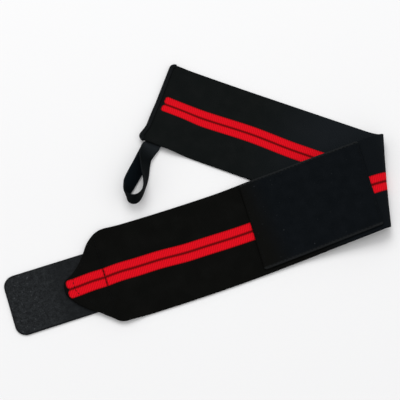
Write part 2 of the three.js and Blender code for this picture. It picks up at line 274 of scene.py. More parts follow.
def liftOver(along, across):
    risen = band["length"] - tab["overlap"] - lift["tabMargin"]
    overTab = ease((along - (risen - lift["tabRun"])) / lift["tabRun"])
    beyondThread = along - overlock["width"] - lift["threadMargin"]
    overThread = 1 - ease(beyondThread / lift["threadRun"])
    besideLoop = along - loop["fromEnd"] - loop["width"] / 2 - lift["loopMargin"]
    beyondLoop = across + halfWidth - loop["sewn"] - lift["loopMarginAcross"]
    fromLoop = np.hypot(np.maximum(besideLoop, 0), np.maximum(beyondLoop, 0))
    overLoop = 1 - ease(fromLoop / lift["loopRun"])
    return np.maximum.reduce([
        (tab["thickness"] + band["gap"]) * overTab,
        (overlock["thickness"] + band["gap"]) * overThread,
        2 * (loop["thickness"] + band["gap"]) * overLoop,
    ])


# The cut end is drawn in between its corners, most of all beside the thumb loop
def drawnIn(along, across):
    started = ease((across - band["bowFrom"]) / band["bowRise"])
    left = np.clip((band["bowUntil"] - across) / band["bowFade"], 0, 1)
    return band["bow"] * (started * left) * (1 - ease(along / band["endStretch"]))


# The middle of the band's thickness, on the folded wrap
def clothMiddle(along, across):
    flatX, flatY = flatPlace(along + drawnIn(along, across), across)
    flatX, flatY = flatX - foldSpot[0], flatY - foldSpot[1]
    past = flatX * math.cos(foldLead) + flatY * math.sin(foldLead)
    beside = flatY * math.cos(foldLead) - flatX * math.sin(foldLead)
    share = beside / foldLineLength + 0.5
    nearX, nearY, _ = nearFold(past)
    farX, farY, _ = farFold(past)
    out, height = mix(nearX, farX, share), mix(nearY, farY, share)
    side = beside + foldSwing * np.maximum(0, past - foldMiddle)
    above = np.maximum(height - restHeight, 0)
    landed = restHeight + above**2 / (above + fold["softness"])
    x = foldSpot[0] + out * math.cos(foldLead) - side * math.sin(foldLead)
    y = foldSpot[1] + out * math.sin(foldLead) + side * math.cos(foldLead)
    # Beyond the lower run's edge the upper run comes down to the surface
    edgeX, edgeY = flatPlace(fold["fromEnd"] / 2, -halfWidth)
    heading = float(middle(fold["fromEnd"] / 2)[2])
    beyond = (x - edgeX) * math.sin(heading) - (y - edgeY) * math.cos(heading)
    reached = np.clip((past - fold["releaseFrom"]) / fold["releaseLength"], 0, 1)
    released = ease(beyond / fold["releaseRun"]) * reached
    onTop = ease((past - foldMiddle) / fold["settleRun"])
    height = mix(height, landed, onTop) - restHeight * released
    return np.stack([x, y, height + liftOver(along, across) + halfBand], -1)


def toFrame(places):
    return (places + np.array(fold["origin"])) * metres


# A place off the band's middle, in metres. Offset is positive towards the face on the skin.
def foldedPlace(along, across, offset):
    along, across, offset = np.broadcast_arrays(along, across, offset)
    step = 0.5  # to each side, for the slope of the cloth
    lengthwise = clothMiddle(along + step, across) - clothMiddle(along - step, across)
    crosswise = clothMiddle(along, across + step) - clothMiddle(along, across - step)
    normal = np.cross(lengthwise, crosswise)
    normal /= np.linalg.norm(normal, axis=-1, keepdims=True)
    return toFrame(clothMiddle(along, across) + normal * offset[..., None])


def rowSlant(along):
    into = ease((along - fold["fromEnd"] / 4) / (fold["fromEnd"] / 2))
    outOf = 1 - ease((along - fold["fromEnd"] - fold["slantHold"]) / fold["slantFade"])
    return math.tan(foldHeading) * np.minimum(into, outOf)


# Bumps that repeat nowhere on the cloth, from a few turned waves, about -1 to 1
def unevenness(along, across, size, seed, waves=7):
    draw = np.random.default_rng(seed)
    total = np.zeros(np.broadcast(along, across).shape)
    for _ in range(waves):
        angle, phase = draw.uniform(0, 2 * math.pi), draw.uniform(0, 9)
        stretch = draw.uniform(0.7, 1.5)
        turned = along * math.cos(angle) + across * math.sin(angle)
        total += np.sin(turned * 2 * math.pi / (size * stretch) + phase)
    return total / (waves / 2)


# One closed mesh from two grids of places, the over side and the under side
def clothMesh(name, over, under, cloth, rim):
    rows, columns = over.shape[:2]
    index = np.arange(rows * columns).reshape(rows, columns)
    count = rows * columns
    first, second = index[:-1], index[1:]
    overFaces = np.stack([first[:, :-1], second[:, :-1], second[:, 1:], first[:, 1:]], -1)
    overFaces = overFaces.reshape(-1, 4)
    around = np.concatenate([index[0, :-1], index[:-1, -1], index[-1, :0:-1], index[:0:-1, 0]])
    following = np.roll(around, -1)
    sides = np.stack([around, following, following + count, around + count], -1)
    faces = np.concatenate([overFaces, overFaces[:, ::-1] + count, sides])
    places = np.concatenate([over.reshape(-1, 3), under.reshape(-1, 3)])
    corners = places[faces]
    volume = np.einsum("ij,ij->i", corners[:, 0], np.cross(corners[:, 1], corners[:, 2])).sum()
    volume += np.einsum("ij,ij->i", corners[:, 0], np.cross(corners[:, 2], corners[:, 3])).sum()
    if volume < 0:
        faces = faces[:, ::-1]
    mesh = bpy.data.meshes.new(name)
    mesh.from_pydata(places.tolist(), [], faces.tolist())
    mesh.polygons.foreach_set("use_smooth", np.ones(len(faces), bool))
    # The pattern follows the cloth: this map is the place on the flat cloth, in decimetres
    flat = np.concatenate([cloth.reshape(-1, 2), cloth.reshape(-1, 2)]) * decimetres
    loops = np.empty(len(mesh.loops), np.int32)
    mesh.loops.foreach_get("vertex_index", loops)
    flatCorners = flat[loops].astype(np.float32).ravel()
    mesh.uv_layers.new(name="cloth").data.foreach_set("uv", flatCorners)
    rimValues = np.concatenate([rim.ravel(), rim.ravel()]).astype(np.float32)
    mesh.attributes.new("rim", "FLOAT", "POINT").data.foreach_set("value", rimValues)
    mesh.validate()
    piece = bpy.data.objects.new(name, mesh)
    bpy.context.scene.collection.objects.link(piece)
    return piece


# How far each place on the flat cloth is from the outline of its grid
def rimDistance(along, across):
    ring = np.concatenate([
        np.stack([along[0, :-1], across[0, :-1]], -1),
        np.stack([along[:-1, -1], across[:-1, -1]], -1),
        np.stack([along[-1, :0:-1], across[-1, :0:-1]], -1),
        np.stack([along[:0:-1, 0], across[:0:-1, 0]], -1),
    ])
    step = np.roll(ring, -1, axis=0) - ring
    size = np.maximum((step**2).sum(-1), 1e-12)  # an edge without length divides nothing by zero
    spots = np.stack([along.ravel(), across.ravel()], -1)
    nearest = np.full(len(spots), np.inf)
    for start, edge, length in zip(ring, step, size):
        offset = spots - start
        share = np.clip(offset @ edge / length, 0, 1)
        gap = offset - share[:, None] * edge
        nearest = np.minimum(nearest, (gap**2).sum(-1))
    return np.sqrt(nearest).reshape(along.shape)


edgeSteps = np.array([0.0, 0.12, 0.35, 0.75, 1.3])  # columns close to a long edge


def spread(low, high, step):
    return np.linspace(low, high, max(2, int(math.ceil((high - low) / step)) + 1))


# The flat grid of a cloth piece: outline has along, near, far and slant for each row
def clothGrid(outline, step):
    along, near, far, slant = (column[:, None] for column in np.asarray(outline, float).T)
    inner = edgeSteps[-1]
    shares = spread(0, 1, step / float((far - near).max() - 2 * inner))[None, 1:-1]
    across = np.concatenate(
        [near + edgeSteps, mix(near + inner, far - inner, shares), far - edgeSteps[::-1]], axis=1
    )
    return along + slant * across, across


# A cloth piece between two offsets, its edges rounded. relief stands out of its outer face.
def layCloth(name, outline, step, inner, outer, relief=None):
    along, across = clothGrid(outline, step)
    rim = rimDistance(along, across)
    half, centre = (outer - inner) / 2, (inner + outer) / 2
    inwards = np.clip(rim / half, 0, 1)
    thin = np.maximum(np.sqrt(1 - (1 - inwards) ** 2), edgeThickness)
    standing = relief(along, across) * inwards if relief else 0.0
    over = foldedPlace(along, across, centre + half * thin)
    under = foldedPlace(along, across, centre - half * thin - standing)
    return clothMesh(name, over, under, np.stack([along, across], -1), rim)


# Points between the rows of a table, on a smooth curve through them
def smoothRows(rows, perSpan):
    rows = np.asarray(rows, float)
    padded = np.vstack([2 * rows[0] - rows[1], rows, 2 * rows[-1] - rows[-2]])
    share = (np.arange(perSpan) / perSpan)[:, None]
    spans = []
    for before, start, end, after in zip(padded, padded[1:], padded[2:], padded[3:]):
        leave, arrive = (end - before) / 2, (after - start) / 2
        square = -3 * start + 3 * end - 2 * leave - arrive
        cube = 2 * start - 2 * end + leave + arrive
        spans.append(start + leave * share + square * share**2 + cube * share**3)
    return np.vstack([*spans, rows[-1:]])


# A rounded corner, as the ways in from the end and how much narrower the piece is there
def roundedEnd(radius, count):
    angles = np.linspace(0, math.pi / 2, count + 1)
    return radius * (1 - np.sin(angles)), radius * (1 - np.cos(angles))


print("elastic band")
# The nose, as shares of the band's half width: back from the tip, far side, near side
noseRows = [
    (1.0, 1.0, -1.0), (0.9, 0.985, -1.0), (0.785, 0.94, -0.96), (0.67, 0.855, -0.855),
    (0.57, 0.75, -0.775), (0.475, 0.605, -0.69), (0.35, 0.43, -0.61), (0.225, 0.3, -0.51),
    (0.12, 0.215, -0.41), (0.03, 0.165, -0.295), (-0.03, 0.115, -0.22), (-0.065, 0.04, -0.13),
]


def bandOutline():
    inFrom, narrower = roundedEnd(band["cornerRadius"], band["cornerSteps"])

    def slant(along):
        ending = 1 - ease(along / band["endStretch"])
        return float(rowSlant(along) + band["endSlant"] * ending)

    corner = zip(inFrom[::-1], narrower[::-1])
    rows = [(along, narrow - halfWidth, halfWidth - narrow, slant(0)) for along, narrow in corner]
    beforeFold = fold["fromEnd"] - fold["fineBefore"]
    afterFold = fold["fromEnd"] + fold["fineAfter"]
    body = np.concatenate([
        spread(band["cornerRadius"], beforeFold, band["step"])[1:],
        spread(beforeFold, afterFold, band["foldStep"])[1:],
        spread(afterFold, band["length"] - halfWidth, band["step"])[1:-1],
    ])
    rows += [(a, -halfWidth, halfWidth, slant(a)) for a in body]
    nose = [(-back, far, near) for back, far, near in noseRows]
    nose = smoothRows(nose, band["noseSteps"]) * halfWidth
    rows += [(band["length"] + back, near, far, 0.0) for back, far, near in nose]
    return rows


# The seam across the nose pulls the cloth in, and the whole band is a little uneven
bandSurface = {
    "bumps": 0.08,
    "bumpSize": 26.0,
    "seamDepth": 0.22,
    "seamWidth": 1.6,
    "seamHalfLength": 37.0,
    "seed": 3,
}


def bandRelief(along, across):
    surface = bandSurface
    fromSeam = band["length"] - along - band["seamFromNose"]
    seam = np.exp(-((fromSeam / surface["seamWidth"]) ** 2))
    seam = seam * (np.abs(across) < surface["seamHalfLength"])
    bumps = unevenness(along, across, surface["bumpSize"], surface["seed"])
    return surface["bumps"] * bumps - surface["seamDepth"] * seam


bandRows = bandOutline()
elasticBand = layCloth(
    "elastic_band_cloth", bandRows, band["columnStep"], -halfBand, halfBand, bandRelief
)

print("loop patch")
patch = {
    "length": 104.5,
    "width": 75.8,
    "thickness": 1.6,
    "fromNose": 154.6,
    "aside": 1.4,
    "slant": -0.126,
    "cornerTrim": 1.5,
    "step": 1.1,
    "pileRelief": 0.14,
    "tuftSize": 2.6,
    "tuftShare": 0.6,  # of the relief
    "tuftSeed": 11,
    "brushSize": 9.0,
    "brushShare": 0.4,
    "brushSeed": 12,
    "seamInside": 1.7,
}


def patchOutline():
    end = band["length"] - patch["fromNose"]
    alongs = spread(end - patch["length"], end, patch["step"])
    near, far = patch["aside"] - patch["width"] / 2, patch["aside"] + patch["width"] / 2
    rows = []
    for along in alongs:
        inside = min(along - alongs[0], alongs[-1] - along)
        trim = max(patch["cornerTrim"] - inside, 0)
        rows.append((along, near + trim, far - trim, patch["slant"]))
    return rows


def patchRelief(along, across):
    tufts = unevenness(along, across, patch["tuftSize"], patch["tuftSeed"])
    brushed = unevenness(along, across, patch["brushSize"], patch["brushSeed"])
    return patch["pileRelief"] * (tufts * patch["tuftShare"] + brushed * patch["brushShare"])


patchFace = -halfBand - band["gap"]
pileFace = patchFace - patch["thickness"]
loopPatch = layCloth(
    "loop_patch_cloth", patchOutline(), patch["step"], pileFace, patchFace, patchRelief
)

print("hook tab")


def tabOutline():
    farEnd, sewnEnd = band["length"] + tab["reach"], band["length"] - tab["overlap"]
    inFrom, narrower = roundedEnd(tab["cornerRadius"], tab["cornerSteps"])
    alongs = [(a, 0.0) for a in spread(sewnEnd, farEnd - tab["cornerRadius"], tab["step"])[:-1]]
    alongs += [(farEnd - a, n) for a, n in zip(inFrom, narrower)]
    rows = []
    for along, narrow in alongs:
        centre = tab["aside"] + tab["turn"] * (along - band["length"])
        half = tab["width"] / 2 - narrow
        slant = tab["endSlant"] * float(ease((along - band["length"]) / tab["reach"]))
        rows.append((along, centre - half, centre + half, slant))
    return rows


def tabRelief(along, across):
    free = ease((along - band["length"] - tab["bumpsFrom"]) / tab["bumpsRun"])
    return tab["relief"] * unevenness(along, across, tab["bumpSize"], tab["seed"]) * free


tabFace = halfBand + band["gap"]
hookFace = tabFace + tab["thickness"]
tabRows = tabOutline()
hookTab = layCloth("hook_tab_tape", tabRows, tab["step"], tabFace, hookFace, tabRelief)

print("thumb loop")


def loopStations():
    exitPlace = np.array(flatPlace(loop["fromEnd"], -halfWidth), float)
    heading = float(middle(loop["fromEnd"])[2]) - math.pi / 2 + math.radians(loop["skew"])
    reachAxis = np.array([math.cos(heading), math.sin(heading)])
    asideAxis = np.array([-reachAxis[1], reachAxis[0]])
    inward = np.array(flatPlace(loop["fromEnd"], 1 - halfWidth), float) - exitPlace
    lower = loop["thickness"] / 2
    upper = lower + loop["thickness"] + band["gap"]

    def sewn(depth, rise, lean):
        return (*(exitPlace + inward * depth), rise, lean)

    depths = [loop["sewn"], loop["sewn"] / 2, -1]
    stations = [sewn(depth, upper, 0) for depth in depths]
    for reach, aside, rise, lean in loop["rows"]:
        spot = exitPlace + (reachAxis * reach + asideAxis * aside) * loop["reach"]
        stations.append((*spot, rise * loop["width"], lean))
    return stations + [sewn(depth, lower, 180) for depth in depths[::-1]]


def ribbonMesh():
    rows = smoothRows(loopStations(), loop["perSpan"])
    centre, lean = rows[:, :3], np.radians(rows[:, 3])[:, None]
    travel = np.gradient(centre, axis=0)
    walked = np.concatenate([[0], np.cumsum(np.linalg.norm(np.diff(centre, axis=0), axis=1))])
    travel /= np.linalg.norm(travel, axis=1, keepdims=True)
    outward = np.stack([-travel[:, 1], travel[:, 0], 0 * travel[:, 0]], -1)
    outward /= np.linalg.norm(outward, axis=1, keepdims=True)
    outerFace = outward * np.sin(lean) + np.array([0, 0, 1.0]) * np.cos(lean)
    widthwise = np.cross(travel, outerFace)
    widthwise /= np.linalg.norm(widthwise, axis=1, keepdims=True)
    normal = np.cross(widthwise, travel)
    half = loop["width"] / 2
    inner = half - edgeSteps[-1]
    across = np.concatenate(
        [edgeSteps - half, spread(-inner, inner, loop["step"])[1:-1], half - edgeSteps[::-1]]
    )
    along, across = np.meshgrid(walked, across, indexing="ij")
    fromEnds = np.minimum(along, walked[-1] - along) + loop["endRim"]
    rim = np.minimum(half - np.abs(across), fromEnds)
    thick = loop["thickness"] / 2
    inwards = np.clip(rim / thick, 0, 1)
    thin = np.maximum(np.sqrt(1 - (1 - inwards) ** 2), edgeThickness) * thick
    base = centre[:, None] + widthwise[:, None] * across[..., None]
    over = toFrame(base + normal[:, None] * thin[..., None])
    under = toFrame(base - normal[:, None] * thin[..., None])
    cloth = np.stack([along, across], -1)
    return clothMesh("thumb_loop_ribbon", over, under, cloth, rim), walked[-1]


thumbLoop, ribbonLength = ribbonMesh()
print("the ribbon is", round(ribbonLength, 1), "mm long")

print("overlocked edge")


# The path round the cut end, and the section that the thread makes over it
def overlockMesh():
    corner, radius = halfWidth - band["cornerRadius"], band["cornerRadius"]
    angles = spread(0, 90, overlock["cornerStep"])
    path = [(corner, angle) for angle in angles[::-1]]
    path += [(across, 0.0) for across in spread(-corner, corner, overlock["step"])[::-1][1:-1]]
    path += [(-corner, -angle) for angle in angles]
    across, angle = np.array(path).T
    inAlong, inAcross = np.cos(np.radians(angle)), -np.sin(np.radians(angle))
    steps = np.hypot(np.diff(inAlong * radius), np.diff(across - inAcross * radius))
    walked = np.concatenate([[0], np.cumsum(steps)])
    inner = halfBand + band["gap"]
    outer = inner + overlock["thickness"]
    bend = np.radians(np.linspace(-90, 90, overlock["bendPoints"]))
    flat = np.linspace(1, 0, overlock["flatPoints"])[:-1]
    wide = np.concatenate([flat * overlock["width"], 0 * bend, flat[::-1] * overlock["width"]])
    beyond = np.concatenate([0 * flat, np.cos(bend), 0 * flat])
    side = np.concatenate([0 * flat - 1, np.sin(bend), 0 * flat + 1])
    leaning = np.linspace(0, overlock["lean"], len(wide))
    turn = walked[:, None] / overlock["pitch"] + leaning[None]
    wave = 0.5 - 0.5 * np.cos(2 * math.pi * turn)
    thread = overlock["ridge"] * (wave - 1)
    tooth = 1 - overlock["tooth"] / overlock["width"] * (1 - wave)

    def skin(face, past, ridge):
        inward = wide * tooth - beyond * (past + ridge)
        offset = side * (face + ridge)
        beside = across[:, None] + inAcross[:, None] * (inward - radius)
        along = radius + inAlong[:, None] * (inward - radius) + band["endSlant"] * beside
        return foldedPlace(along, beside, offset)

    over = skin(outer, band["gap"] + overlock["thickness"], thread)
    under = skin(inner, band["gap"], 0 * thread)
    length = np.broadcast_to(walked[:, None], over.shape[:2])
    section = np.linspace(0, overlock["mapWidth"], len(wide))
    cloth = np.stack([length, np.broadcast_to(section[None], over.shape[:2])], -1)
    return clothMesh("overlock_edge_thread", over, under, cloth, np.ones(over.shape[:2]))


overlockEdge = overlockMesh()

print("stitches")
stitch = {
    "length": 2.5,
    "gap": 0.75,
    "radius": 0.24,
    "standsOut": 0.165,  # shares of the radius: the middle above the cloth, the ends below it
    "dives": 0.825,
    "thinEnds": 0.35,
    "rings": 6,
    "sides": 6,
}


# Walks a line on the flat cloth and gives where each stitch starts and ends
def stitchSpots(line):
    line = np.asarray(line, float)
    walked = np.concatenate([[0], np.cumsum(np.linalg.norm(np.diff(line, axis=0), axis=1))])
    pitch = stitch["length"] + stitch["gap"]
    count = int((walked[-1] + stitch["gap"]) // pitch)
    begin = (walked[-1] - count * pitch + stitch["gap"]) / 2 + pitch * np.arange(count)

    def at(distance):
        return np.stack([np.interp(distance, walked, line[:, side]) for side in (0, 1)], -1)

    return np.stack([at(begin), at(begin + stitch["length"])], 1)


def turnOutwards(mesh):
    first, corners = mesh.polygons[0], stitch["sides"] * 2
    hub = sum((mesh.vertices[i].co for i in range(corners)), Vector()) / corners
    if (first.center - hub).dot(first.normal) < 0:
        mesh.flip_normals()


# Short lengths of thread that dive into the cloth at both ends. face is the offset they lie on.
def sewStitches(name, lines, face):
    spots = np.concatenate([stitchSpots(line) for line in lines])
    share = np.linspace(0, 1, stitch["rings"])
    flat = spots[:, :1] + (spots[:, 1:] - spots[:, :1]) * share[None, :, None]
    arch = 1 - (2 * share - 1) ** 4
    radius = stitch["radius"]
    sunk = face + mix(stitch["dives"], -stitch["standsOut"], arch) * radius
    centre = foldedPlace(flat[..., 0], flat[..., 1], np.broadcast_to(sunk, flat.shape[:2]))
    lifted = foldedPlace(flat[..., 0], flat[..., 1], np.broadcast_to(sunk - 1, flat.shape[:2]))
    up = lifted - centre
    up /= np.linalg.norm(up, axis=-1, keepdims=True)
    travel = np.gradient(centre, axis=1)
    travel /= np.linalg.norm(travel, axis=-1, keepdims=True)
    side = np.cross(travel, up)
    angle = np.linspace(0, 2 * math.pi, stitch["sides"], endpoint=False)
    ringRadius = radius * metres * mix(stitch["thinEnds"], 1, np.sqrt(arch))[None, :, None, None]
    spokes = np.cos(angle)[:, None] * side[:, :, None] + np.sin(angle)[:, None] * up[:, :, None]
    places = centre[:, :, None] + spokes * ringRadius
    sides, rings = stitch["sides"], stitch["rings"]
    faces = []
    for ring in range(rings - 1):
        for spoke in range(sides):
            after = (spoke + 1) % sides
            here, there = ring * sides, (ring + 1) * sides
            faces.append((here + spoke, here + after, there + after, there + spoke))
    faces += [tuple(range(sides))[::-1], tuple(range((rings - 1) * sides, rings * sides))]
    total = [
        tuple(corner + number * rings * sides for corner in face)
        for number in range(len(spots)) for face in faces
    ]
    mesh = bpy.data.meshes.new(name)
    mesh.from_pydata(places.reshape(-1, 3).tolist(), [], total)
    mesh.polygons.foreach_set("use_smooth", np.ones(len(total), bool))
    turnOutwards(mesh)
    piece = bpy.data.objects.new(name, mesh)
    bpy.context.scene.collection.objects.link(piece)
    return piece


def clothLine(backs):
    return [(band["length"] - back, across) for back, across in backs]


# The seams that hold the tab under the nose. A point is how far back from the nose, and across.
noseSeams = {
    "straight": [(band["seamFromNose"], -36.5), (band["seamFromNose"], 35.5)],
    "round": [
        (28.6, 30), (24.5, 25.5), (19.5, 20), (14.5, 14.5), (10, 10.8), (6.8, 8.0), (5.2, 3),
        (5.2, -4.2), (8.6, -11.2), (14.2, -17.5), (19, -22.3), (23.7, -26.5), (28.6, -30),
    ],
}
noseLines = [clothLine(seam) for seam in noseSeams.values()]
noseStitches = sewStitches("nose_stitches", noseLines, -halfBand)


def patchLines(inside):
    end = band["length"] - patch["fromNose"] - inside
    start = end - patch["length"] + 2 * inside
    near = patch["aside"] - patch["width"] / 2 + inside
    far = patch["aside"] + patch["width"] / 2 - inside
    corners = [(start, near), (end, near), (end, far), (start, far)]
    corners = [(along + patch["slant"] * across, across) for along, across in corners]
    return [[a, b] for a, b in zip(corners, corners[1:] + corners[:1])]


patchStitches = sewStitches("patch_stitches", patchLines(patch["seamInside"]), pileFace)

# The bar tacks that hold the thumb loop's sewn ends, on the band's outer face
tackHalf = loop["width"] / 2 - loop["tackInside"]
tackLines = [
    [(loop["fromEnd"] + side * tackHalf, depth - halfWidth) for side in (-1, 1)]
    for depth in loop["tackDepths"]
]
loopTacks = sewStitches("loop_tacks", tackLines, -halfBand)

print("materials")


# A shader socket that can stand in a sum
class Wire:
    def __init__(self, paint, socket):
        self.paint, self.socket = paint, socket

    def maths(self, operation, *values):
        sockets = dict(enumerate(values))
        return self.paint.node("ShaderNodeMath", {"operation": operation}, sockets)

    def __add__(self, other):
        return self.maths("ADD", self, other)

    def __sub__(self, other):
        return self.maths("SUBTRACT", self, other)

    def __rsub__(self, other):
        return self.maths("SUBTRACT", other, self)

    def __mul__(self, other):
        return self.maths("MULTIPLY", self, other)

    def __truediv__(self, other):
        return self.maths("DIVIDE", self, other)

    __radd__ = __add__
    __rmul__ = __mul__

    def wave(self, length):
        return self.maths("SINE", self * (2 * math.pi / length))

    def size(self):
        return self.maths("ABSOLUTE", self)

    def root(self):
        return self.maths("SQRT", self)

    def atLeast(self, other):
        return self.maths("MAXIMUM", self, other)

    # 0 at low and 1 at high, or the other way round where low is the larger
    def rise(self, low, high):
        smooth = {"interpolation_type": "SMOOTHSTEP"}
        limits = {"Value": self, "From Min": low, "From Max": high}
        return self.paint.node("ShaderNodeMapRange", smooth, limits)


# A material, its principled shader and the nodes that feed it
class Paint:
    def __init__(self, name, fixed):
        self.material = bpy.data.materials.new(name)
        self.material.use_nodes = True
        self.nodes = self.material.node_tree.nodes
        self.shader = self.nodes["Principled BSDF"]
        for socket, value in fixed.items():
            self.shader.inputs[socket].default_value = value

    def plug(self, target, value):
        if isinstance(value, Wire):
            self.material.node_tree.links.new(value.socket, target)
        else:
            target.default_value = value

    def node(self, kind, settings, values, output=0):
        made = self.nodes.new(kind)
        for name, value in settings.items():
            setattr(made, name, value)
        for socket, value in values.items():
            self.plug(made.inputs[socket], value)
        return Wire(self, made.outputs[output])

    # Millimetres along and across the flat cloth, and the pair as a vector
    def clothPlace(self):
        cloth = self.node("ShaderNodeUVMap", {"uv_map": "cloth"}, {})
        scaled = {0: cloth, 1: (1 / decimetres, 1 / decimetres, 1 / decimetres)}
        place = self.node("ShaderNodeVectorMath", {"operation": "MULTIPLY"}, scaled)
        parts = [self.node("ShaderNodeSeparateXYZ", {}, {0: place}, output=i) for i in (0, 1)]
        return (*parts, place)

    def rimPlace(self):
        return self.node("ShaderNodeAttribute", {"attribute_name": "rim"}, {}, output="Fac")

    def noise(self, place, size, detail=2.0, rough=0.5):
        values = {"Vector": place, "Scale": 1 / size, "Detail": detail, "Roughness": rough}
        return self.node("ShaderNodeTexNoise", {}, values)

    def blend(self, share, one, other):
        colours = {0: share, 6: one, 7: other}
        return self.node("ShaderNodeMix", {"data_type": "RGBA"}, colours, output=2)

    # The height of the relief is in millimetres
    def finish(self, colour, rough, height):
        self.plug(self.shader.inputs["Base Color"], colour)
        self.plug(self.shader.inputs["Roughness"], rough)
        relief = {"Strength": 1.0, "Distance": metres, "Height": height}
        self.plug(self.shader.inputs["Normal"], self.node("ShaderNodeBump", {}, relief))
        return self.material


bandLook = {
    "black": (0.0044, 0.0056, 0.0055, 1),
    "greyer": (0.0068, 0.0078, 0.0076, 1),
    # painted sheen: the lower run is painted lighter and bluer as it nears the fold
    "nearFold": (0.0088, 0.0112, 0.0138, 1),
    "overFold": (0.0042, 0.0056, 0.0070, 1),
    "outerBlack": (0.0026, 0.0027, 0.0023, 1),
    "outerGreyer": (0.0042, 0.0043, 0.0038, 1),
    "red": (0.75, 0.0030, 0.0110, 1),
    "paleRed": (0.90, 0.0080, 0.0220, 1),
    "darkRed": (0.20, 0.0006, 0.0018, 1),
    "between": (0.13, 0.0020, 0.0030, 1),
    "grain": 0.55,  # the sizes of the cloth's uneven spots
    "wear": 14.0,
    "sheenNearFoldFrom": (80.0, 160.0),  # along, where each ground colour takes over
    "sheenNearFoldShare": 0.8,
    "overFoldFrom": (190.0, 215.0),
    "outerFrom": (250.0, 300.0),
    "ribPitch": 1.25,  # the ribs run across the band
    "ribWaver": 0.35,
    "cordPitch": 0.85,  # and the warp cords along it
    "twillPitch": 2.0,
    "twillLean": 0.6,
    "twillWaver": 0.8,
    "twillShare": 0.42,
    "stripeAside": 4.2,  # from the middle line of the pair to the middle of one stripe
    "stripeWidth": 7.1,
    "stripeCorner": 2.4,
    "stripeRagged": 0.3,
    "stripeEdge": (-0.25, 0.2),  # from a stripe's outline
    "stripeFromRim": (0.6, 1.4),
    "darkEdge": 1.3,  # how far in a stripe is darker towards its outline
    "darkEdgeShare": 0.6,
    "betweenHalf": (1.4, 0.9),  # the dark red line between the stripes
    "betweenEnds": (1.5, 0.5),
    "betweenFromRim": (0.25, 0.9),
    "stripeStart": 6.0,
    "stripeEnd": 487.6,
    # along, and how far the middle of the pair is from the band's middle line there
    "wander": [
        (12, -0.2), (40, -0.75), (86, 0.5), (130, -1.1), (335, -1.6), (385, -0.7), (415, 0.7),
        (436, 0.5), (463, -1.1), (487, -2.7),
    ],
    "seamShadeHalf": (0.5, 1.4),  # painted shade: the stripes are painted darker in the dip where the seam pulls the cloth in
    "seamShare": 0.85,
    "ribRelief": 0.075,
    "cordRelief": 0.03,
    "grainRelief": 0.12,
    "rough": 0.88,
    "stripeRough": 0.76,
    "fixed": {"Specular IOR Level": 0.035, "Sheen Weight": 0.0},
}


def paintBand():
    look = bandLook
    paint = Paint("woven_elastic", look["fixed"])
    along, across, place = paint.clothPlace()
    rim = paint.rimPlace()
    grain = paint.noise(place, look["grain"], detail=3.0)
    wear = (paint.noise(place, look["wear"]) * 1.6 - 0.5).rise(0.0, 1.0)
    ribs = (along + look["ribWaver"] * grain).wave(look["ribPitch"])
    cords = across.wave(look["cordPitch"])
    ground = paint.blend(wear, look["black"], look["greyer"])
    outerGround = paint.blend(wear, look["outerBlack"], look["outerGreyer"])
    # Painted sheen: the lower run is lighter and bluer as it nears the fold
    nearFold = along.rise(*look["sheenNearFoldFrom"]) * look["sheenNearFoldShare"]
    ground = paint.blend(nearFold, ground, look["nearFold"])
    ground = paint.blend(along.rise(*look["overFoldFrom"]), ground, look["overFold"])
    ground = paint.blend(along.rise(*look["outerFrom"]), ground, outerGround)
    # Each stripe is a long bar with round corners, and outside is how far past its outline
    aside = across - look["wander"][0][1]
    for (start, was), (end, now) in zip(look["wander"], look["wander"][1:]):
        aside = aside - along.rise(start, end) * (now - was)
    corner = look["stripeCorner"]
    beside = (aside.size() - look["stripeAside"]).size()
    beside = (beside - (look["stripeWidth"] / 2 - corner)).atLeast(0.0)
    beforeStart = look["stripeStart"] + corner - along
    beyond = beforeStart.atLeast(along - (look["stripeEnd"] - corner)).atLeast(0.0)
    outside = (beside * beside + beyond * beyond).root() - corner
    stripe = 1 - (outside + look["stripeRagged"] * (grain - 0.5)).rise(*look["stripeEdge"])
    stripe = stripe * rim.rise(*look["stripeFromRim"])
    lit = (grain * 0.9 + 0.12 * ribs - 0.1).rise(0.25, 0.8)
    dyed = paint.blend(lit, look["red"], look["paleRed"])
    twill = along + look["twillLean"] * across + look["twillWaver"] * grain
    hollows = (0.5 - 0.5 * twill.wave(look["twillPitch"])) * look["twillShare"]
    edges = (outside + look["darkEdge"]).rise(0.0, look["darkEdge"]) * look["darkEdgeShare"]
    # Painted shade: the stripes are darker in the dip that the seam pulls into the cloth
    fromSeam = (along - (band["length"] - band["seamFromNose"])).size()
    seam = (1 - fromSeam.rise(*look["seamShadeHalf"])) * look["seamShare"]
    dyed = paint.blend((hollows + edges).atLeast(seam), dyed, look["darkRed"])
    between = beyond.rise(*look["betweenEnds"]) * rim.rise(*look["betweenFromRim"])
    between = between * aside.size().rise(*look["betweenHalf"])
    ground = paint.blend(between, ground, look["between"])
    colour = paint.blend(stripe, ground, dyed)
    height = look["ribRelief"] * ribs + look["cordRelief"] * cords + look["grainRelief"] * grain
    rough = look["rough"] - (look["rough"] - look["stripeRough"]) * stripe
    return paint.finish(colour, rough, height)


pileLook = {
    "black": (0.0032, 0.0043, 0.0054, 1),
    "bluer": (0.0052, 0.0066, 0.0082, 1),
    "lint": (0.030, 0.033, 0.036, 1),
    "edging": (0.0170, 0.0185, 0.0190, 1),
    "tuft": 0.8,
    "brushed": 9.0,
    "speck": 2.3,
    "speckFrom": (0.72, 0.80),
    "speckShare": 0.6,
    "nearNose": (331.0, 306.0),  # along, where the pile stops looking bluer
    "edgingWidth": (2.6, 1.4),  # in from the long edges
    "tuftRelief": 0.35,
    "brushRelief": 0.15,
    "rough": 0.95,
    "fixed": {"Specular IOR Level": 0.02, "Sheen Weight": 0.0},
}


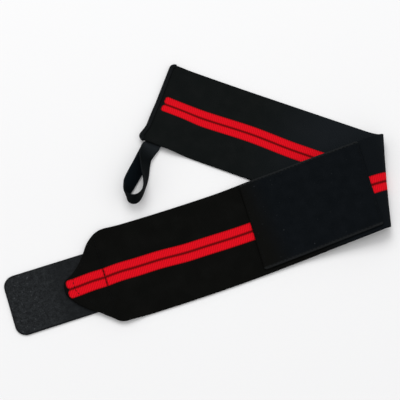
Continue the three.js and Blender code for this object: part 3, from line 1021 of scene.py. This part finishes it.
def paintPile():
    look = pileLook
    paint = Paint("loop_pile", look["fixed"])
    along, across, place = paint.clothPlace()
    tufts = paint.noise(place, look["tuft"], detail=4.0, rough=0.65)
    brushed = paint.noise(place, look["brushed"])
    specks = paint.noise(place, look["speck"], detail=1.0)
    raised = (tufts * 0.7 + brushed * 0.6).rise(0.4, 0.95)
    ground = paint.blend(raised, look["black"], look["bluer"])
    ground = paint.blend(along.rise(*look["nearNose"]), bandLook["outerGreyer"], ground)
    low, high = (patch["width"] / 2 - inside for inside in look["edgingWidth"])
    edging = (across - patch["aside"]).size().rise(low, high)
    ground = paint.blend(edging * (tufts * 1.8 - 0.3), ground, look["edging"])
    caught = specks.rise(*look["speckFrom"]) * look["speckShare"]
    colour = paint.blend(caught, ground, look["lint"])
    height = look["tuftRelief"] * tufts + look["brushRelief"] * brushed
    return paint.finish(colour, look["rough"], height)


hookLook = {
    "grey": (0.0072, 0.0080, 0.0090, 1),
    "paler": (0.0240, 0.0270, 0.0290, 1),
    "lint": (0.0750, 0.0800, 0.0860, 1),
    # painted shadow of the nose on the tape, also used for the darker rim
    "noseShadowAndDarkRim": (0.0070, 0.0080, 0.0090, 1),
    "grain": 1.1,
    "mottle": 3.4,
    "hookPitch": 1.0,
    "lintSize": 1.5,
    "lintFrom": (20.0, 26.0),  # past the nose
    "lintShare": 0.7,
    "noseShadow": (17.0, 1.0),  # past the nose, where the nose's shadow is painted on the tape
    "noseShadowShare": 0.6,
    "rimWidth": (1.6, 0.3),
    "grainRelief": 0.25,
    "mottleRelief": 0.1,
    "hookRelief": 0.04,
    "rough": 0.8,
    "fixed": {"Specular IOR Level": 0.06, "Sheen Weight": 0.0},
}


def paintHook():
    look = hookLook
    paint = Paint("hook_tape", look["fixed"])
    along, across, place = paint.clothPlace()
    pastNose = along - band["length"]
    grain = paint.noise(place, look["grain"], detail=4.0, rough=0.7)
    mottle = paint.noise(place, look["mottle"])
    hooks = along.wave(look["hookPitch"]) * across.wave(look["hookPitch"])
    raised = (grain * 0.8 + mottle * 0.4).rise(0.45, 0.80)
    colour = paint.blend(raised, look["grey"], look["paler"])
    caught = paint.noise(place, look["lintSize"], detail=1.0).rise(0.66, 0.72)
    caught = caught * mottle.rise(0.35, 0.6) * pastNose.rise(*look["lintFrom"])
    colour = paint.blend(caught * look["lintShare"], colour, look["lint"])
    # Painted shadow: the tape is darker just past the nose, which lies over it, and darker at its
    # rim
    shaded = pastNose.rise(*look["noseShadow"]) * look["noseShadowShare"]
    shaded = shaded.atLeast(paint.rimPlace().rise(*look["rimWidth"]))
    colour = paint.blend(shaded, colour, look["noseShadowAndDarkRim"])
    height = look["grainRelief"] * grain + look["mottleRelief"] * mottle
    return paint.finish(colour, look["rough"], height + look["hookRelief"] * hooks)


ribbonLook = {
    "black": (0.0016, 0.0022, 0.0020, 1),
    "bluer": (0.0034, 0.0046, 0.0052, 1),
    "inside": (0.0050, 0.0078, 0.0105, 1),
    "sheen": (0.0150, 0.0180, 0.0205, 1),
    "fuzz": 0.7,
    "ribPitch": 1.0,
    "cordPitch": 1.5,
    "sheenUntil": (36.0, 18.0),  # along the ribbon
    "sheenShare": 0.7,
    "turnFrom": (82.0, 94.0),  # where the loop turns its inside up
    # painted highlight: the selvedge along the ribbon's edges takes the sheen colour
    "selvedgeHighlightWidth": (1.3, 0.4),
    "selvedgeHighlightShare": 0.6,
    "ribRelief": 0.05,
    "cordRelief": 0.05,
    "fuzzRelief": 0.08,
    "rough": 0.66,
    "fuzzRough": 0.2,
    "fixed": {"Specular IOR Level": 0.02, "Sheen Weight": 0.0},
}


def paintRibbon():
    look = ribbonLook
    paint = Paint("narrow_elastic", look["fixed"])
    along, across, place = paint.clothPlace()
    fuzz = paint.noise(place, look["fuzz"], detail=3.0)
    ribs = (along + 0.3 * fuzz).wave(look["ribPitch"])
    cords = across.wave(look["cordPitch"])
    # Bluer towards the middle of the ribbon's width, and unevenly
    middleFirst = 1 - (across.size() / (loop["width"] / 2)).rise(0.55, 1.0)
    bluerMiddle = (0.5 * middleFirst + 0.8 * fuzz).rise(0.2, 1.1)
    colour = paint.blend(bluerMiddle, look["black"], look["bluer"])
    sheen = along.rise(*look["sheenUntil"]) * look["sheenShare"]
    colour = paint.blend(sheen, colour, look["sheen"])
    colour = paint.blend(along.rise(*look["turnFrom"]), colour, look["inside"])
    # Painted highlight: the selvedge along the ribbon's edges is painted with the sheen colour
    selvedgeHighlight = paint.rimPlace().rise(*look["selvedgeHighlightWidth"]) * (fuzz * 1.6 - 0.3)
    colour = paint.blend(selvedgeHighlight * look["selvedgeHighlightShare"], colour, look["sheen"])
    height = look["ribRelief"] * ribs + look["cordRelief"] * cords + look["fuzzRelief"] * fuzz
    return paint.finish(colour, look["rough"] + look["fuzzRough"] * fuzz, height)


threadLook = {
    "black": (0.0026, 0.0030, 0.0032, 1),
    "paler": (0.0060, 0.0065, 0.0070, 1),
    "twist": 0.9,
    "relief": 0.1,
    "rough": 0.72,
    "fixed": {"Specular IOR Level": 0.04},
}


def paintThread():
    look = threadLook
    paint = Paint("sewing_thread", look["fixed"])
    place = paint.node("ShaderNodeTexCoord", {}, {}, output="Object")
    strands = paint.noise(place, look["twist"] * metres)
    colour = paint.blend(strands.rise(0.35, 0.7), look["black"], look["paler"])
    return paint.finish(colour, look["rough"], look["relief"] * strands)


overlockLook = {
    "black": (0.0062, 0.0076, 0.0080, 1),
    "paler": (0.0145, 0.0162, 0.0182, 1),
    "strand": 0.4,
    "twistPitch": 0.28,
    "twistLean": 0.22,
    "twistRelief": 0.05,
    "strandRelief": 0.08,
    "rough": 0.78,
    "fixed": {"Specular IOR Level": 0.03},
}


def paintOverlock():
    look = overlockLook
    paint = Paint("overlock_thread", look["fixed"])
    along, section, place = paint.clothPlace()
    strands = paint.noise(place, look["strand"])
    twist = (along + look["twistLean"] * section).wave(look["twistPitch"])
    raised = (strands * 0.9 + 0.1 * twist).rise(0.3, 0.8)
    colour = paint.blend(raised, look["black"], look["paler"])
    height = look["twistRelief"] * twist + look["strandRelief"] * strands
    return paint.finish(colour, look["rough"], height)


looks = {
    "elastic": paintBand(),
    "loop_pile": paintPile(),
    "hook_tape": paintHook(),
    "ribbon": paintRibbon(),
    "thread": paintThread(),
    "overlock": paintOverlock(),
}


def dress(piece, material, slot, *nodes):
    piece.data.materials.clear()
    piece.data.materials.append(looks[material])
    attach(piece, "root")
    if nodes:
        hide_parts(*nodes)


dress(elasticBand, "elastic", "elastic", "elastic_band")
dress(loopPatch, "loop_pile", "loop_pile", "loop_patch")
dress(hookTab, "hook_tape", "hook_tape", "hook_tab")
dress(thumbLoop, "ribbon", "ribbon", "thumb_loop")
dress(overlockEdge, "overlock", "thread", "overlock_edge")
for piece in (noseStitches, patchStitches, loopTacks):
    dress(piece, "thread", "thread")

print("floor and light")
room = {
    "floorSize": 4.0,
    "floorColour": (0.86, 0.86, 0.865, 1),
    "floorRough": 0.9,
    "paperGrain": 2.0,
    "paperRelief": 0.02,
    "sky": 0.785,
    "lampPower": 46.0,
    "lampSize": 1.9,
    "lampPlace": (-0.7, 1.95, 2.5),
}


def layFloor():
    bpy.ops.mesh.primitive_plane_add(size=room["floorSize"], location=(0, 0, 0))
    floor = bpy.context.object
    floor.name = "floor"
    bpy.ops.object.transform_apply(location=True, rotation=True, scale=True)
    paint = Paint("pale_floor", {"Specular IOR Level": 0.0})
    place = paint.node("ShaderNodeTexCoord", {}, {}, output="Object")
    paper = room["paperRelief"] * paint.noise(place, room["paperGrain"] * metres, detail=3.0)
    floor.data.materials.append(paint.finish(room["floorColour"], room["floorRough"], paper))


def lightRoom():
    world = bpy.data.worlds.new("studio")
    world.use_nodes = True
    sky = world.node_tree.nodes["Background"].inputs
    sky["Color"].default_value = (1, 1, 1, 1)
    sky["Strength"].default_value = room["sky"]
    bpy.context.scene.world = world
    lamp = bpy.data.objects.new("soft_lamp", bpy.data.lights.new("soft_lamp", "AREA"))
    lamp.data.energy = room["lampPower"]
    lamp.data.size = room["lampSize"]
    place = Vector(room["lampPlace"])
    turned = place.to_track_quat("Z", "Y").to_matrix().to_4x4()
    lamp.matrix_world = Matrix.Translation(place) @ turned
    bpy.context.scene.collection.objects.link(lamp)
    bpy.context.scene.view_settings.view_transform = "Standard"


layFloor()
lightRoom()
